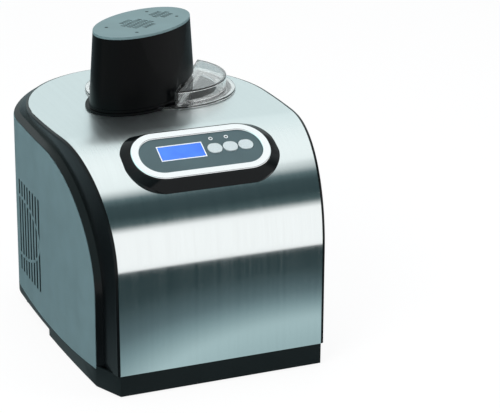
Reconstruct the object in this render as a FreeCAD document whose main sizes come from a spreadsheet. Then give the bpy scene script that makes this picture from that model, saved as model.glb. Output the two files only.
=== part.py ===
import FreeCAD, Part
import math
import os

import Sketcher
from FreeCAD import Placement, Rotation, Vector

# Compressor ice cream maker with a lift-off motor and lid unit, in millimetres.
# The origin is on the table under the middle of the machine: x right, y back, z up.

X_AXIS = Vector(1, 0, 0)
Y_AXIS = Vector(0, 1, 0)
Z_AXIS = Vector(0, 0, 1)

doc = FreeCAD.newDocument("ice_cream_maker")
sheet = doc.addObject("Spreadsheet::Sheet", "Sizes")
nodes = {}


class Size:
    """A size that carries its number and the spreadsheet formula behind it."""

    def __init__(self, number, formula):
        self.number = float(number)
        self.formula = formula

    def __float__(self):
        return self.number

    def __add__(self, other):
        return Size(self.number + float(other), f"({self.formula} + {formula_of(other)})")

    def __sub__(self, other):
        return Size(self.number - float(other), f"({self.formula} - {formula_of(other)})")

    def __mul__(self, other):
        return Size(self.number * float(other), f"({self.formula} * {formula_of(other)})")

    def __truediv__(self, other):
        return Size(self.number / float(other), f"({self.formula} / {formula_of(other)})")

    def __radd__(self, other):
        return as_size(other) + self

    def __rsub__(self, other):
        return as_size(other) - self

    def __rmul__(self, other):
        return as_size(other) * self

    def __neg__(self):
        return Size(-self.number, f"(-{self.formula})")


def as_size(value):
    return value if isinstance(value, Size) else Size(value, f"({float(value)!r})")


def formula_of(value):
    return as_size(value).formula


def sine(angle):
    return Size(math.sin(math.radians(angle)), f"sin({formula_of(angle)} * 1deg)")


def cosine(angle):
    return Size(math.cos(math.radians(angle)), f"cos({formula_of(angle)} * 1deg)")


def size(alias, number, meaning):
    """Put one driving size in the spreadsheet."""
    row = size.rows = getattr(size, "rows", 0) + 1
    sheet.set(f"A{row}", meaning)
    sheet.set(f"B{row}", str(number))
    sheet.setAlias(f"B{row}", alias)
    return Size(number, f"Sizes.{alias}")


# Helpers that make bound objects

def bind(thing, **properties):
    for name, value in properties.items():
        thing.setExpression(name, formula_of(value))
    return thing


def put(thing, x=0, y=0, z=0, axis=Z_AXIS, angle=0):
    """Place an object by sizes, turned about one axis."""
    thing.Placement = Placement(Vector(x, y, z), Rotation(axis, float(angle)))
    for name, value in (("Base.x", x), ("Base.y", y), ("Base.z", z), ("Rotation.Angle", angle)):
        if isinstance(value, Size):
            thing.setExpression(f"Placement.{name}", value.formula)
    return thing


def node(label, thing):
    thing.Label = label
    nodes[label] = thing
    return thing


def box(length, width, height, x, y, z):
    """A block with its low corner at x, y, z."""
    block = doc.addObject("Part::Box", "block")
    return put(bind(block, Length=length, Width=width, Height=height), x, y, z)


def slab(length, width, height, x, y, z):
    """A block centred on x, y that stands on z."""
    return box(length, width, height, x - as_size(length) / 2, y - as_size(width) / 2, z)


def rod(radius, height, x, y, z, along=Z_AXIS):
    """A round bar that starts at x, y, z and runs along one axis."""
    bar = doc.addObject("Part::Cylinder", "bar")
    turn = Rotation(Z_AXIS, along)
    return put(bind(bar, Radius=radius, Height=height), x, y, z, turn.Axis, math.degrees(turn.Angle))


def joined(*things):
    union = doc.addObject("Part::MultiFuse", "union")
    union.Shapes = list(things)
    union.Refine = True
    return union


def grouped(*things):
    group = doc.addObject("Part::Compound", "group")
    group.Links = list(things)
    return group


def without(base, *tools):
    difference = doc.addObject("Part::Cut", "difference")
    difference.Base = base
    difference.Tool = tools[0] if len(tools) == 1 else joined(*tools)
    return difference


def shaped(shape):
    """An object whose shape comes from curves and lofts that no primitive gives."""
    feature = doc.addObject("Part::Feature", "form")
    feature.Shape = shape
    return feature


def draw(body, plane, *outlines):
    """A sketch of closed outlines with straight sides, every corner bound to sizes."""
    sketch = body.newObject("Sketcher::SketchObject", "sketch")
    support = [item for item in body.Origin.OriginFeatures if item.Role == plane]
    sketch.AttachmentSupport = [(support[0], "")]
    sketch.MapMode = "FlatFace"
    for corners in outlines:
        first = sketch.GeometryCount
        spots = [Vector(across, along, 0) for across, along in corners]
        for spot, following in zip(spots, spots[1:] + spots[:1]):
            sketch.addGeometry(Part.LineSegment(spot, following), False)
        for index, corner in enumerate(corners):
            here = first + index
            following = first + (index + 1) % len(corners)
            sketch.addConstraint(Sketcher.Constraint("Coincident", here, 2, following, 1))
            for kind, value in zip(("DistanceX", "DistanceY"), corner):
                datum = Sketcher.Constraint(kind, -1, 1, here, 1, float(value))
                number = sketch.addConstraint(datum)
                sketch.setExpression(f"Constraints[{number}]", formula_of(value))
    return sketch


def turned(outline, x=0, y=0):
    """A solid of revolution about an upright axis at x, y from radius and height pairs."""
    body = doc.addObject("PartDesign::Body", "turning")
    sketch = draw(body, "XZ_Plane", outline)
    revolution = body.newObject("PartDesign::Revolution", "revolution")
    revolution.Profile = sketch
    revolution.ReferenceAxis = (sketch, ["V_Axis"])
    revolution.Angle = 360
    return put(body, x, y)


def rounded_block(length, width, height, corner, low):
    """A block with round upright corners, centred on its own origin, from low upwards."""
    body = doc.addObject("PartDesign::Body", "rounded_block")
    right, back = as_size(length) / 2, as_size(width) / 2
    sketch = draw(body, "XY_Plane", [(-right, -back), (right, -back), (right, back), (-right, back)])
    pad = body.newObject("PartDesign::Pad", "pad")
    pad.Profile = sketch
    bind(pad, Length=height)
    doc.recompute()
    upright = [
        f"Edge{number}"
        for number, edge in enumerate(pad.Shape.Edges, 1)
        if abs(edge.tangentAt(edge.FirstParameter).z) > 0.9
    ]
    fillet = body.newObject("PartDesign::Fillet", "fillet")
    fillet.Base = (pad, upright)
    bind(fillet, Radius=corner)
    return put(body, 0, 0, low)


def straight(start, end):
    return Part.LineSegment(start, end).toShape()


def smooth(points, start_direction, end_direction):
    curve = Part.BSplineCurve()
    curve.interpolate(Points=points, InitialTangent=start_direction, FinalTangent=end_direction)
    return curve.toShape()


def pipe(points, radius, bend):
    """A round tube along straight runs joined by arcs."""
    edges = []
    start = points[0]
    for corner, following in zip(points[1:-1], points[2:]):
        into = (corner - start).normalize()
        out = (following - corner).normalize()
        setback = bend * math.tan(into.getAngle(out) / 2)
        before, after = corner - into * setback, corner + out * setback
        inwards = (out - into).normalize()
        middle = corner + inwards * (math.hypot(bend, setback) - bend)
        edges += [straight(start, before), Part.Arc(before, middle, after).toShape()]
        start = after
    edges.append(straight(start, points[-1]))
    section = Part.Wire(Part.makeCircle(radius, points[0], points[1] - points[0]))
    return Part.Wire(edges).makePipeShell([section], True, False)


# Sizes of the body
depth = size("depth", 380, "front to back")
side_width = size("side_width", 280, "across the side panels where they bow out most")
side_bow = size("side_bow", 5, "bow of a side panel from its front edge to its widest part")
top_over = size("top_over", 0.5, "widest part of the steel top past a side panel")
front_taper = size("front_taper", 20.5, "edge of the steel front inside the widest part of a side panel")
widest_at = size("widest_at", 205, "front to the widest part of the steel top")
round_from = size("round_from", 217, "front to where the back of the top starts to round")
body_top = size("body_top", 261.5, "table to the steel top")
shoulder = size("shoulder", 125, "radius of the steel shoulder")
front_lean = size("front_lean", 2, "how far the steel front leans back")
rear_corner = size("rear_corner", 76, "radius of the rear corners")
steel = size("steel", 1, "thickness of the steel")
seam = size("seam", 0.3, "gap between neighbouring pieces")
band = size("band", 36.5, "width of the black trim at the front, seen from the side")
edge_low = size("edge_low", 105, "table to where the trim's edge starts to curve")
level_from = size("level_from", 196, "front to where the trim's edge is level and the sides are widest")
crest = size("crest", 376, "radius of the trim's edge seen from behind")
crest_drop = size("crest_drop", 3.5, "steel top to the trim's edge at the rear")
bead = size("bead", 3.2, "width of the trim's bead beside the steel")
bead_gap = size("bead_gap", 0.5, "gap between the edge of the steel and the trim's bead")
bead_height = size("bead_height", 3, "height of the trim's bead")
bead_round = size("bead_round", 0.8, "fall of the trim's bead to its outer edge")
lip = size("lip", 7, "width of the trim's lip beside the side panel")
lip_rise = size("lip_rise", 4, "rise of the trim's lip to its inner corner")
lip_thick = size("lip_thick", 0.9, "thickness of the trim's lip at its edge")
trim_wall = size("trim_wall", 3, "wall of the trim")
trim_tuck = size("trim_tuck", 0.5, "trim inside the face of the side panel and the rear")
groove = size("groove", 1.5, "groove between trim and side panel")
panel_wall = size("panel_wall", 2.5, "wall of the side and rear panels")
plinth_top = size("plinth_top", 26, "table to the top of the base tray at the front")
sill_low = size("sill_low", 14.6, "table to the lowest point of the side panels")
sill_at = size("sill_at", 191, "front to the lowest point of the side panels")
sill_radius = size("sill_radius", 1526, "radius of the side panels' lower edge")
plinth_under = size("plinth_under", 2, "table to the bottom of the plinth")
plinth_length = size("plinth_length", 190, "front to the end of the deep plinth")
tray_under = size("tray_under", 9.5, "table to the underside of the tray floor")
tray_wall = size("tray_wall", 3, "wall and floor of the base tray")

front = -depth / 2
rear = depth / 2
side_front = side_width - 2 * side_bow
top_width = side_width + 2 * top_over
front_width = side_width - 2 * front_taper
arc_y = front + front_lean + shoulder
arc_z = body_top - shoulder
tray_floor = tray_under + tray_wall
side_inner = side_width / 2 - panel_wall
beyond = side_width  # how far construction blocks reach past the body
level_y = float(front + level_from)


def bow_radius():
    """Radius of the bowed sides in plan."""
    spread = float(side_bow)
    return (float(level_from - band) ** 2 + spread**2) / (2 * spread)


def corner_middle():
    """Middle of the round rear corner that runs on from the bow, and the angle where they meet."""
    reach = bow_radius() - float(rear_corner)
    y = float(rear - rear_corner)
    turn = math.asin((y - level_y) / reach)
    return Vector(float(side_width) / 2 - bow_radius() + reach * math.cos(turn), y, 0), turn


def bow_half_width(y):
    """Half the width of the lower body ahead of its rear corners."""
    return float(side_width) / 2 - bow_radius() + math.sqrt(bow_radius() ** 2 - (y - level_y) ** 2)


def corner_spot(turn):
    """A point on the round rear corner, by angle from the right side."""
    return corner_middle()[0] + Vector(math.cos(turn), math.sin(turn), 0) * float(rear_corner)


def crest_height(x):
    """Height of the trim's lower edge where it runs round the back."""
    return float(body_top - crest_drop - crest) + math.sqrt(float(crest) ** 2 - x**2)


def edge_curve(turn, inset):
    """A point on the curve of the trim's edge from upright to level, moved in by inset."""
    rise = crest_height(bow_half_width(level_y)) - float(edge_low + inset)
    run = float(level_from - band - inset)
    return Vector(0, level_y - run * math.cos(turn), float(edge_low) + rise * math.sin(turn))


def across_body(edges):
    """A closed side outline on the plane through the middle, drawn out past both sides."""
    outline = Part.Face(Part.Wire(edges))
    outline.translate(Vector(-beyond, 0, 0))
    return outline.extrude(Vector(2 * beyond, 0, 0))


def below_profile(inset, bottom):
    """All that lies under the steel's side profile when that is moved in by inset."""
    foot = Vector(0, front + inset, bottom)
    waist = Vector(0, front + front_lean + inset, arc_z)
    reach = float(shoulder - inset) * math.sqrt(0.5)
    middle = Vector(0, arc_y - reach, arc_z + reach)
    brow = Vector(0, arc_y, body_top - inset)
    back = Vector(0, rear + shoulder, body_top - inset)
    heel = Vector(0, rear + shoulder, bottom)
    return across_body([
        straight(foot, waist),
        Part.Arc(waist, middle, brow).toShape(),
        straight(brow, back),
        straight(back, heel),
        straight(heel, foot),
    ])


def below_edge(inset):
    """All that lies under the trim's edge when that is moved in by inset."""
    curve = [edge_curve(math.radians(angle), inset) for angle in range(0, 91, 10)]
    foot = Vector(0, curve[0].y, 0)
    back = Vector(0, rear + shoulder, curve[-1].z)
    heel = Vector(0, rear + shoulder, 0)
    side = across_body([
        straight(foot, curve[0]),
        smooth(curve, Z_AXIS, Y_AXIS),
        straight(curve[-1], back),
        straight(back, heel),
        straight(heel, foot),
    ])
    side = side.cut(Part.makeBox(2 * beyond, depth, body_top, Vector(-beyond, level_y, 0)))
    crest_middle = Vector(0, level_y, body_top - crest_drop - crest)
    behind = Part.makeCylinder(crest - inset, depth, crest_middle, Y_AXIS)
    return side, behind


def above_sill(lift):
    """All that lies over the lower edge of the side panels, moved up by lift."""
    low_y = float(front + sill_at)

    def spot(y):
        fall = math.sqrt(float(sill_radius) ** 2 - (y - low_y) ** 2)
        return Vector(0, y, float(sill_low + lift + sill_radius) - fall)

    start, low, end = (spot(y) for y in (float(front + band), low_y, float(rear + band)))
    back, brow = Vector(0, end.y, body_top), Vector(0, start.y, body_top)
    return across_body([
        Part.Arc(start, low, end).toShape(),
        straight(end, back),
        straight(back, brow),
        straight(brow, start),
    ])


def edge_half_width(y):
    """Half the width of the steel where it meets the trim, ahead of the rounded back."""
    half, narrow, run = top_width / 2, front_width / 2, widest_at
    spread = float(half - narrow)
    radius = (float(run) ** 2 + spread**2) / (2 * spread)
    short = max(float(front + run) - y, 0)
    return float(half) - radius + math.sqrt(radius**2 - short**2)


def round_back(angle, z):
    """A point on the rounded back of the steel top, by angle from the right side."""
    turn = math.radians(angle)
    middle = front + round_from
    reach = rear - trim_tuck - bead - middle
    return Vector(top_width / 2 * math.cos(turn), middle + reach * math.sin(turn), z)


def steel_prism(low, high):
    """The plan of the steel from low to high."""
    y_wide, y_round = float(front + widest_at), float(front + round_from)
    y_middle = (float(front) + y_wide) / 2
    halves = [edge_half_width(y) for y in (float(front), y_middle, y_wide)]
    right = [Vector(half, y, low) for half, y in zip(halves, (front, y_middle, y_wide))]
    left = [Vector(-spot.x, spot.y, spot.z) for spot in right]
    back = [round_back(angle, low) for angle in range(0, 181, 6)]
    edges = [
        straight(left[0], right[0]),
        Part.Arc(*right).toShape(),
        straight(right[2], Vector(right[2].x, y_round, low)),
        smooth(back, Y_AXIS, -Y_AXIS),
        straight(Vector(left[2].x, y_round, low), left[2]),
        Part.Arc(left[2], left[1], left[0]).toShape(),
    ]
    return Part.Face(Part.Wire(edges)).extrude(Vector(0, 0, high - low))


def body_prism(inset, low, high):
    """The plan of the lower body, moved in by inset, from low to high."""
    middle, turn = corner_middle()
    y_side = float(front + band)
    right = [
        Vector(front_width / 2, front, 0),
        Vector(side_front / 2, y_side, 0),
        Vector(bow_half_width(level_y), level_y, 0),
        corner_spot(turn),
        corner_spot((turn + math.pi / 2) / 2),
        corner_spot(math.pi / 2),
    ]
    left = [Vector(-spot.x, spot.y, 0) for spot in right]
    edges = [straight(left[0], right[0])]
    for points in (right, left):
        edges += [
            straight(points[0], points[1]),
            Part.Arc(*points[1:4]).toShape(),
            Part.Arc(*points[3:6]).toShape(),
        ]
    edges.append(straight(right[5], left[5]))
    plan = Part.Face(Part.Wire(Part.__sortEdges__(edges)))
    if float(inset):
        plan = plan.makeOffset2D(-float(inset))
    plan.translate(Vector(0, 0, low))
    return plan.extrude(Vector(0, 0, high - low))


# Base tray with its deep plinth at the front, on four rubber feet
tray = body_prism(0, tray_under, plinth_top).cut(body_prism(tray_wall, tray_floor, plinth_top))
plinth = body_prism(0, plinth_under, tray_under).cut(body_prism(tray_wall, plinth_under, tray_under))
plinth_zone = Part.makeBox(
    2 * beyond, plinth_length, tray_under, Vector(-beyond, front, 0)
)
tray = tray.cut(above_sill(0)).fuse(plinth.common(plinth_zone))
node("base_tray", shaped(tray.removeSplitter()))

foot_radius = size("foot_radius", 10, "radius of a rubber foot")
front_foot_in = size("front_foot_in", 27.5, "side of the body to the middle of a front foot")
rear_foot_in = size("rear_foot_in", 17, "side of the body to the middle of a rear foot")
front_foot = size("front_foot", 45, "front to the middle of a front foot")
rear_foot = size("rear_foot", 81, "rear to the middle of a rear foot")
node("rubber_feet", grouped(*(
    rod(foot_radius, tray_under, side * (side_width / 2 - inset), y, 0)
    for side in (-1, 1)
    for inset, y in ((front_foot_in, front + front_foot), (rear_foot_in, rear - rear_foot))
)))

# Well axis, shared by the well, the bowl and the lid
well_x = size("well_x", 30, "middle of the machine to the well axis")
well_inset = size("well_inset", 111.5, "rear to the well axis")
collar_radius = size("collar_radius", 84, "outside radius of the well collar")
well_y = rear - well_inset

# Motor unit frame: its long axis starts at the well axis and runs forward and left
tower_angle = size("tower_angle", 37.2, "turn of the motor unit's long axis from x")
socket_out = size("socket_out", 104, "well axis to the motor socket")
socket_radius = size("socket_radius", 13.5, "radius of the motor socket")
socket_x = well_x - socket_out * cosine(tower_angle)
socket_y = well_y - socket_out * sine(tower_angle)

# Steel front and top, one sheet bent over the shoulder
wrap = below_profile(0, plinth_top).cut(below_profile(steel, plinth_top))
wrap = wrap.common(steel_prism(tray_floor, body_top + tray_floor))
for x, y, radius in ((well_x, well_y, collar_radius), (socket_x, socket_y, socket_radius)):
    wrap = wrap.cut(Part.makeCylinder(radius + seam, 2 * steel, Vector(x, y, body_top - 1.5 * steel)))


# Black trim between the steel and the side panels
def trim_section(steel_edge, panel_edge, inwards, aside, fullness=1):
    """A closed section of the trim: bead beside the steel, recessed wall, lip and the wall behind."""
    wall = float(trim_wall)
    under = steel_edge + inwards * float(steel + seam)
    outer = steel_edge - aside * float(bead)
    lower = panel_edge + aside * float(trim_tuck)
    corner = lower + (aside * float(lip) - inwards * float(lip_rise)) * fullness
    spots = [
        under + aside * wall,
        under - aside * float(bead_gap),
        steel_edge - aside * float(bead_gap),
        outer + inwards * float(bead_round),
        outer + inwards * float(bead_height),
        corner,
        lower,
        lower + inwards * float(lip_thick),
        corner + (inwards * fullness + aside) * wall,
    ]
    return Part.makePolygon(spots + spots[:1])


def rear_edge(share):
    """A point of the trim's lower edge and its inward direction, from side to rear middle."""
    middle, meet = corner_middle()
    y_round = float(front + round_from)
    side_run = corner_spot(meet).y - y_round
    turn_run = float(rear_corner) * (math.pi / 2 - meet)
    along = share * (side_run + turn_run + middle.x)
    if along < side_run:
        y = y_round + along
        spot, out = Vector(bow_half_width(y), y, 0), X_AXIS
    elif along < side_run + turn_run:
        turn = meet + (along - side_run) / float(rear_corner)
        spot, out = corner_spot(turn), Vector(math.cos(turn), math.sin(turn), 0)
    else:
        spot, out = Vector(middle.x - (along - side_run - turn_run), rear, 0), Y_AXIS
    return Vector(spot.x, spot.y, crest_height(spot.x)), -out


def edge_from_shoulder(out):
    """Where a line from the middle of the shoulder's arc meets the curve of the trim's edge."""
    low, high = 0, math.pi / 2
    for _ in range(40):
        turn = (low + high) / 2
        spot = edge_curve(turn, 0) - Vector(0, arc_y, arc_z)
        if spot.y * out.z - spot.z * out.y < 0:
            low = turn
        else:
            high = turn
    spot = edge_curve(low, 0)
    return Vector(bow_half_width(spot.y), spot.y, spot.z)


def upright_section(z):
    """A level section of the trim beside the steel front."""
    share = (z - float(plinth_top)) / float(arc_z - plinth_top)
    y = float(front) + share * float(front_lean)
    climb = max(z - float(edge_low), 0) / (edge_curve(math.pi / 2, 0).z - float(edge_low))
    y_edge = edge_curve(math.asin(climb), 0).y
    edge = Vector(edge_half_width(y), y, z)
    return trim_section(edge, Vector(bow_half_width(y_edge), y_edge, z), Y_AXIS, -X_AXIS)


def trim_sections():
    """Sections up the front, over the shoulder, along the top and round the back."""
    for low, high in ((plinth_top, edge_low), (edge_low, arc_z)):
        for share in (0, 0.25, 0.5, 0.75):
            yield upright_section(float(low + (high - low) * share))
    for angle in range(0, 91, 10):
        out = Vector(0, -math.cos(math.radians(angle)), math.sin(math.radians(angle)))
        edge = Vector(0, arc_y, arc_z) + out * float(shoulder)
        edge.x = edge_half_width(edge.y)
        yield trim_section(edge, edge_from_shoulder(out), -out, -X_AXIS)
    for share in (0.25, 0.5, 0.75):
        y = float(arc_y) + share * float(front + round_from - arc_y)
        edge = Vector(edge_half_width(y), y, body_top)
        z = edge_curve(math.acos(max(level_y - y, 0) / float(level_from - band)), 0).z
        yield trim_section(edge, Vector(bow_half_width(y), y, z), -Z_AXIS, -X_AXIS)
    for share in (step / 12 for step in range(13)):
        side, aside = rear_edge(share)
        fullness = float(body_top - crest_drop) - side.z
        fullness = max(fullness / (crest_height(0) - crest_height(float(side_width) / 2)), 0.1)
        yield trim_section(round_back(90 * share, body_top), side, -Z_AXIS, aside, min(fullness, 1))


LOFT_DEGREE = 2  # a higher degree makes the straight part of the trim waver
right_trim = Part.makeLoft(list(trim_sections()), True, False, False, LOFT_DEGREE)
node("right_trim", shaped(right_trim))
node("left_trim", shaped(right_trim.mirror(Vector(0, 0, 0), X_AXIS)))

# Side and rear panels, with vent slots crossed by a ring on both sides
vent_inset = size("vent_inset", 162.6, "rear to the first vent slot")
vent_low = size("vent_low", 44.5, "table to the bottom of the vent slots")
vent_high = size("vent_high", 159.5, "table to the top of the vent slots")
vent_count = size("vent_count", 8, "number of vent slots")
vent_pitch = size("vent_pitch", 11.35, "from one vent slot to the next")
vent_width = size("vent_width", 5.6, "width of a vent slot")
ring_inset = size("ring_inset", 85.7, "rear to the middle of the vent ring")
ring_long = size("ring_long", 75, "half length of the vent ring")
ring_tall = size("ring_tall", 37, "half height of the vent ring")
ring_rib = size("ring_rib", 3.5, "width of the vent ring")
split_gap = size("split_gap", 0.4, "gap between the rear panel and a side panel")
fan_z = (vent_low + vent_high) / 2


def oval_bar(grow):
    """A long oval bar across the body, as large as the vent ring and a bit."""
    middle = Vector(-beyond, rear - ring_inset, fan_z)
    long_end = middle + Vector(0, ring_long + grow, 0)
    tall_end = middle + Vector(0, 0, ring_tall + grow)
    oval = Part.Ellipse(long_end, tall_end, middle).toShape()
    return Part.Face(Part.Wire(oval)).extrude(Vector(2 * beyond, 0, 0))


slots = [
    Part.makeBox(2 * beyond, vent_width, vent_high - vent_low,
                 Vector(-beyond, rear - vent_inset + vent_pitch * index, vent_low))
    for index in range(round(float(vent_count)))
]
vents = Part.makeCompound(slots).cut(oval_bar(ring_rib / 2).cut(oval_bar(-ring_rib / 2)))
shell = body_prism(0, tray_under, body_top).cut(body_prism(panel_wall, tray_under, body_top))
shell = shell.common(above_sill(seam))
side_limit, rear_limit = below_edge(groove)
shell = shell.common(side_limit).fuse(shell.common(rear_limit)).removeSplitter()
rear_half = corner_middle()[0].x
middle_zone = Part.makeBox(
    2 * rear_half, depth, body_top, Vector(-rear_half, front, 0)
)
right_zone = Part.makeBox(beyond, 2 * depth, body_top, Vector(rear_half + split_gap, 2 * front, 0))
right_panel = shell.common(right_zone).cut(vents)
node("right_side_panel", shaped(right_panel))
node("left_side_panel", shaped(right_panel.mirror(Vector(0, 0, 0), X_AXIS)))

gland_in = size("gland_in", 15.638, "side of the rear panel to the cord gland")
gland_z = size("gland_z", 48, "table to the cord gland")
gland_radius = size("gland_radius", 8, "outside radius of the cord gland")
gland_length = size("gland_length", 16, "length of the cord gland")
cord_radius = size("cord_radius", 3.8, "radius of the bore for the mains cord")
gland_x = as_size(rear_half) - gland_in
rear_plate = shaped(shell.common(middle_zone))
gland_hole = rod(gland_radius + seam / 2, depth / 4, gland_x, rear, gland_z, -Y_AXIS)
node("rear_panel", without(rear_plate, gland_hole))
node("cord_gland", without(
    rod(gland_radius, gland_length, gland_x, rear, gland_z, -Y_AXIS),
    rod(cord_radius, gland_length, gland_x, rear, gland_z, -Y_AXIS),
))

# Control pod on the shoulder, in its own frame: x right, y up the slope, z out of the fascia
pod_tilt = size("pod_tilt", 28.7, "tilt of the fascia from level")
pod_rise = size("pod_rise", 4, "fascia plane above the steel")
pod_drop = size("pod_drop", 1.4, "middle of the pod below the nearest point of the shoulder")
ring_length = size("ring_length", 161, "length of the chrome ring")
ring_width = size("ring_width", 68.5, "width of the chrome ring")
ring_edge = size("ring_edge", 9.3, "width of the chrome frame all round")
ring_corner = size("ring_corner", 33, "corner radius of the chrome ring")
ring_proud = size("ring_proud", 1.5, "chrome ring above the fascia plane")
bezel_rim = size("bezel_rim", 1.5, "black rim round the chrome ring")
bezel_flare = size("bezel_flare", 13.6, "spread of the bezel's sloping front and back")
bezel_end_flare = size("bezel_end_flare", 46, "spread of the bezel's sloping ends")
bezel_reach = size("bezel_reach", 8.6, "foot of the bezel past its top, front and back")
bezel_end_reach = size("bezel_end_reach", 9.5, "foot of the bezel past its top at the ends")
bezel_deep = size("bezel_deep", 20, "height of the bezel's sloping sides")
ledge = size("ledge", 2.6, "thickness of the ledge under the fascia")
ledge_width = size("ledge_width", 4, "ledge under the edge of the fascia")
fascia_thick = size("fascia_thick", 2.5, "thickness of the fascia")
board_drop = size("board_drop", 1, "control board below the ledge")
board_thick = size("board_thick", 1.6, "thickness of a circuit board")
pod_y = arc_y - sine(pod_tilt) * (shoulder + pod_rise) - cosine(pod_tilt) * pod_drop
pod_z = arc_z + cosine(pod_tilt) * (shoulder + pod_rise) - sine(pod_tilt) * pod_drop


def in_pod(label, thing):
    return node(label, put(thing, 0, pod_y, pod_z, X_AXIS, pod_tilt))


fascia_length = ring_length - 2 * ring_edge
fascia_width = ring_width - 2 * ring_edge
fascia_corner = ring_corner - ring_edge
fascia_low = -ledge
board_top = -2 * ledge - board_drop
shoulder_bar = rod(
    shoulder + seam, 2 * beyond, -beyond, pod_drop, -(shoulder + pod_rise), X_AXIS
)


def rounded_wire(length, width, corner, z):
    """A rectangle with round corners, centred on its own origin."""
    block = Part.makeBox(length, width, 1, Vector(-length / 2, -width / 2, z))
    upright = [edge for edge in block.Edges if abs(edge.tangentAt(0).z) > 0.9]
    bottom = min(block.makeFillet(float(corner), upright).Faces, key=lambda face: face.CenterOfMass.z)
    return bottom.OuterWire


bezel_top = (ring_length + 2 * bezel_rim, ring_width + 2 * bezel_rim, ring_corner + bezel_rim)


def bezel_wire(past_ends, past_sides, z):
    """The bezel's outline at one height, grown past its top."""
    length, width, corner = bezel_top
    return rounded_wire(length + 2 * past_ends, width + 2 * past_sides, corner + past_sides, z)


slopes = Part.makeLoft(
    [bezel_wire(0, 0, 0), bezel_wire(bezel_end_flare, bezel_flare, -bezel_deep)], True, True
)
foot_outline = Part.Face(bezel_wire(bezel_end_reach, bezel_reach, -bezel_deep))
bezel_form = shaped(slopes.common(foot_outline.extrude(Vector(0, 0, bezel_deep))))
bezel_seat = rounded_block(ring_length + 2 * seam, ring_width + 2 * seam, ledge,
                           ring_corner + seam, -ledge)
bezel_window = rounded_block(fascia_length - 2 * ledge_width, fascia_width - 2 * ledge_width,
                             2 * ledge, fascia_corner - ledge_width, -2 * ledge)
bezel_room = rounded_block(fascia_length, fascia_width, bezel_deep - 2 * ledge,
                           fascia_corner, -bezel_deep)
peg_x = fascia_length / 2 - fascia_corner - 2 * ledge_width
peg_y = fascia_width / 2 - ledge_width / 2
pegs = [
    rod(ledge_width / 2 - seam, board_drop, x, y, board_top)
    for x in (-peg_x, peg_x)
    for y in (-peg_y, peg_y)
]
in_pod("pod_bezel", joined(without(bezel_form, bezel_seat, bezel_window, bezel_room, shoulder_bar), *pegs))

# The steel is open below the pod, so the control board reaches into the body
pod_opening = Part.Face(rounded_wire(fascia_length, fascia_width, fascia_corner, -bezel_deep))
pod_opening = pod_opening.extrude(Vector(0, 0, bezel_deep))
pod_opening.Placement = Placement(Vector(0, pod_y, pod_z), Rotation(X_AXIS, float(pod_tilt)))
node("front_top_panel", shaped(wrap.cut(pod_opening)))

ring_band = rounded_block(ring_length, ring_width, ledge + ring_proud, ring_corner, -ledge)
ring_hole = rounded_block(fascia_length, fascia_width, ledge + ring_proud, fascia_corner, -ledge)
in_pod("chrome_ring", without(ring_band, ring_hole))

screen_x = size("screen_x", -22.2, "middle of the pod to the middle of the display")
screen_y = size("screen_y", 2.8, "display above the middle of the pod")
screen_length = size("screen_length", 53.5, "length of the display window")
screen_width = size("screen_width", 22.4, "width of the display window")
button_first = size("button_first", 16.8, "middle of the pod to the first button")
button_pitch = size("button_pitch", 18.4, "from one button to the next")
button_y = size("button_y", 2, "buttons above the middle of the pod")
button_length = size("button_length", 17, "length of a button")
button_width = size("button_width", 14, "width of a button")
button_proud = size("button_proud", 0.8, "button above the fascia")
button_gap = size("button_gap", 0.35, "gap round a button")
button_flange = size("button_flange", 0.9, "thickness and width of a button's flange")
press = size("press", 1, "travel of a button")
lamp_y = size("lamp_y", 17, "lamps above the middle of the pod")
lamp_radius = size("lamp_radius", 2.1, "radius of a lamp")
button_xs = [button_first + button_pitch * index for index in range(3)]


def oval(length, width, height, x, y, z):
    """An upright oval bar with half-round ends."""
    spread = (as_size(length) - width) / 2
    ends = [rod(as_size(width) / 2, height, x + shift, y, z) for shift in (-spread, spread)]
    return joined(*ends, slab(2 * spread, width, height, x, y, z))


def button_oval(grow, height, x, z):
    return oval(button_length + 2 * grow, button_width + 2 * grow, height, x, button_y, z)


plate = rounded_block(fascia_length - seam, fascia_width - seam, fascia_thick,
                      fascia_corner - seam / 2, fascia_low)
screen_hole = slab(screen_length, screen_width, fascia_thick, screen_x, screen_y, fascia_low)
button_holes = [button_oval(button_gap, fascia_thick, x, fascia_low) for x in button_xs]
lamp_holes = [rod(lamp_radius + seam, fascia_thick, x, lamp_y, fascia_low) for x in button_xs[:2]]
in_pod("fascia", without(plate, screen_hole, *button_holes, *lamp_holes))
in_pod("lcd_display", grouped(
    slab(screen_length - seam, screen_width - seam, fascia_low + fascia_thick - board_top,
         screen_x, screen_y, board_top)
))
in_pod("lamp_lenses", grouped(*(
    rod(lamp_radius, fascia_low + fascia_thick - board_top, x, lamp_y, board_top)
    for x in button_xs[:2]
)))
flange_low = fascia_low - seam - button_flange
for name, x in zip(("left_button", "middle_button", "right_button"), button_xs):
    cap = button_oval(0, fascia_thick + button_proud + seam, x, fascia_low - seam)
    collar = button_oval(-button_gap / 2, button_flange, x, flange_low)
    in_pod(name, joined(cap, collar))
switch_size = size("switch_size", 6, "side of a push switch")
board = rounded_block(fascia_length - 2 * ledge_width, fascia_width - 2 * seam, board_thick,
                      fascia_corner, board_top - board_thick)
switches = [
    slab(switch_size, switch_size, flange_low - press - seam - board_top, x, button_y, board_top)
    for x in button_xs
]
in_pod("control_board", joined(board, *switches))

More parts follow.
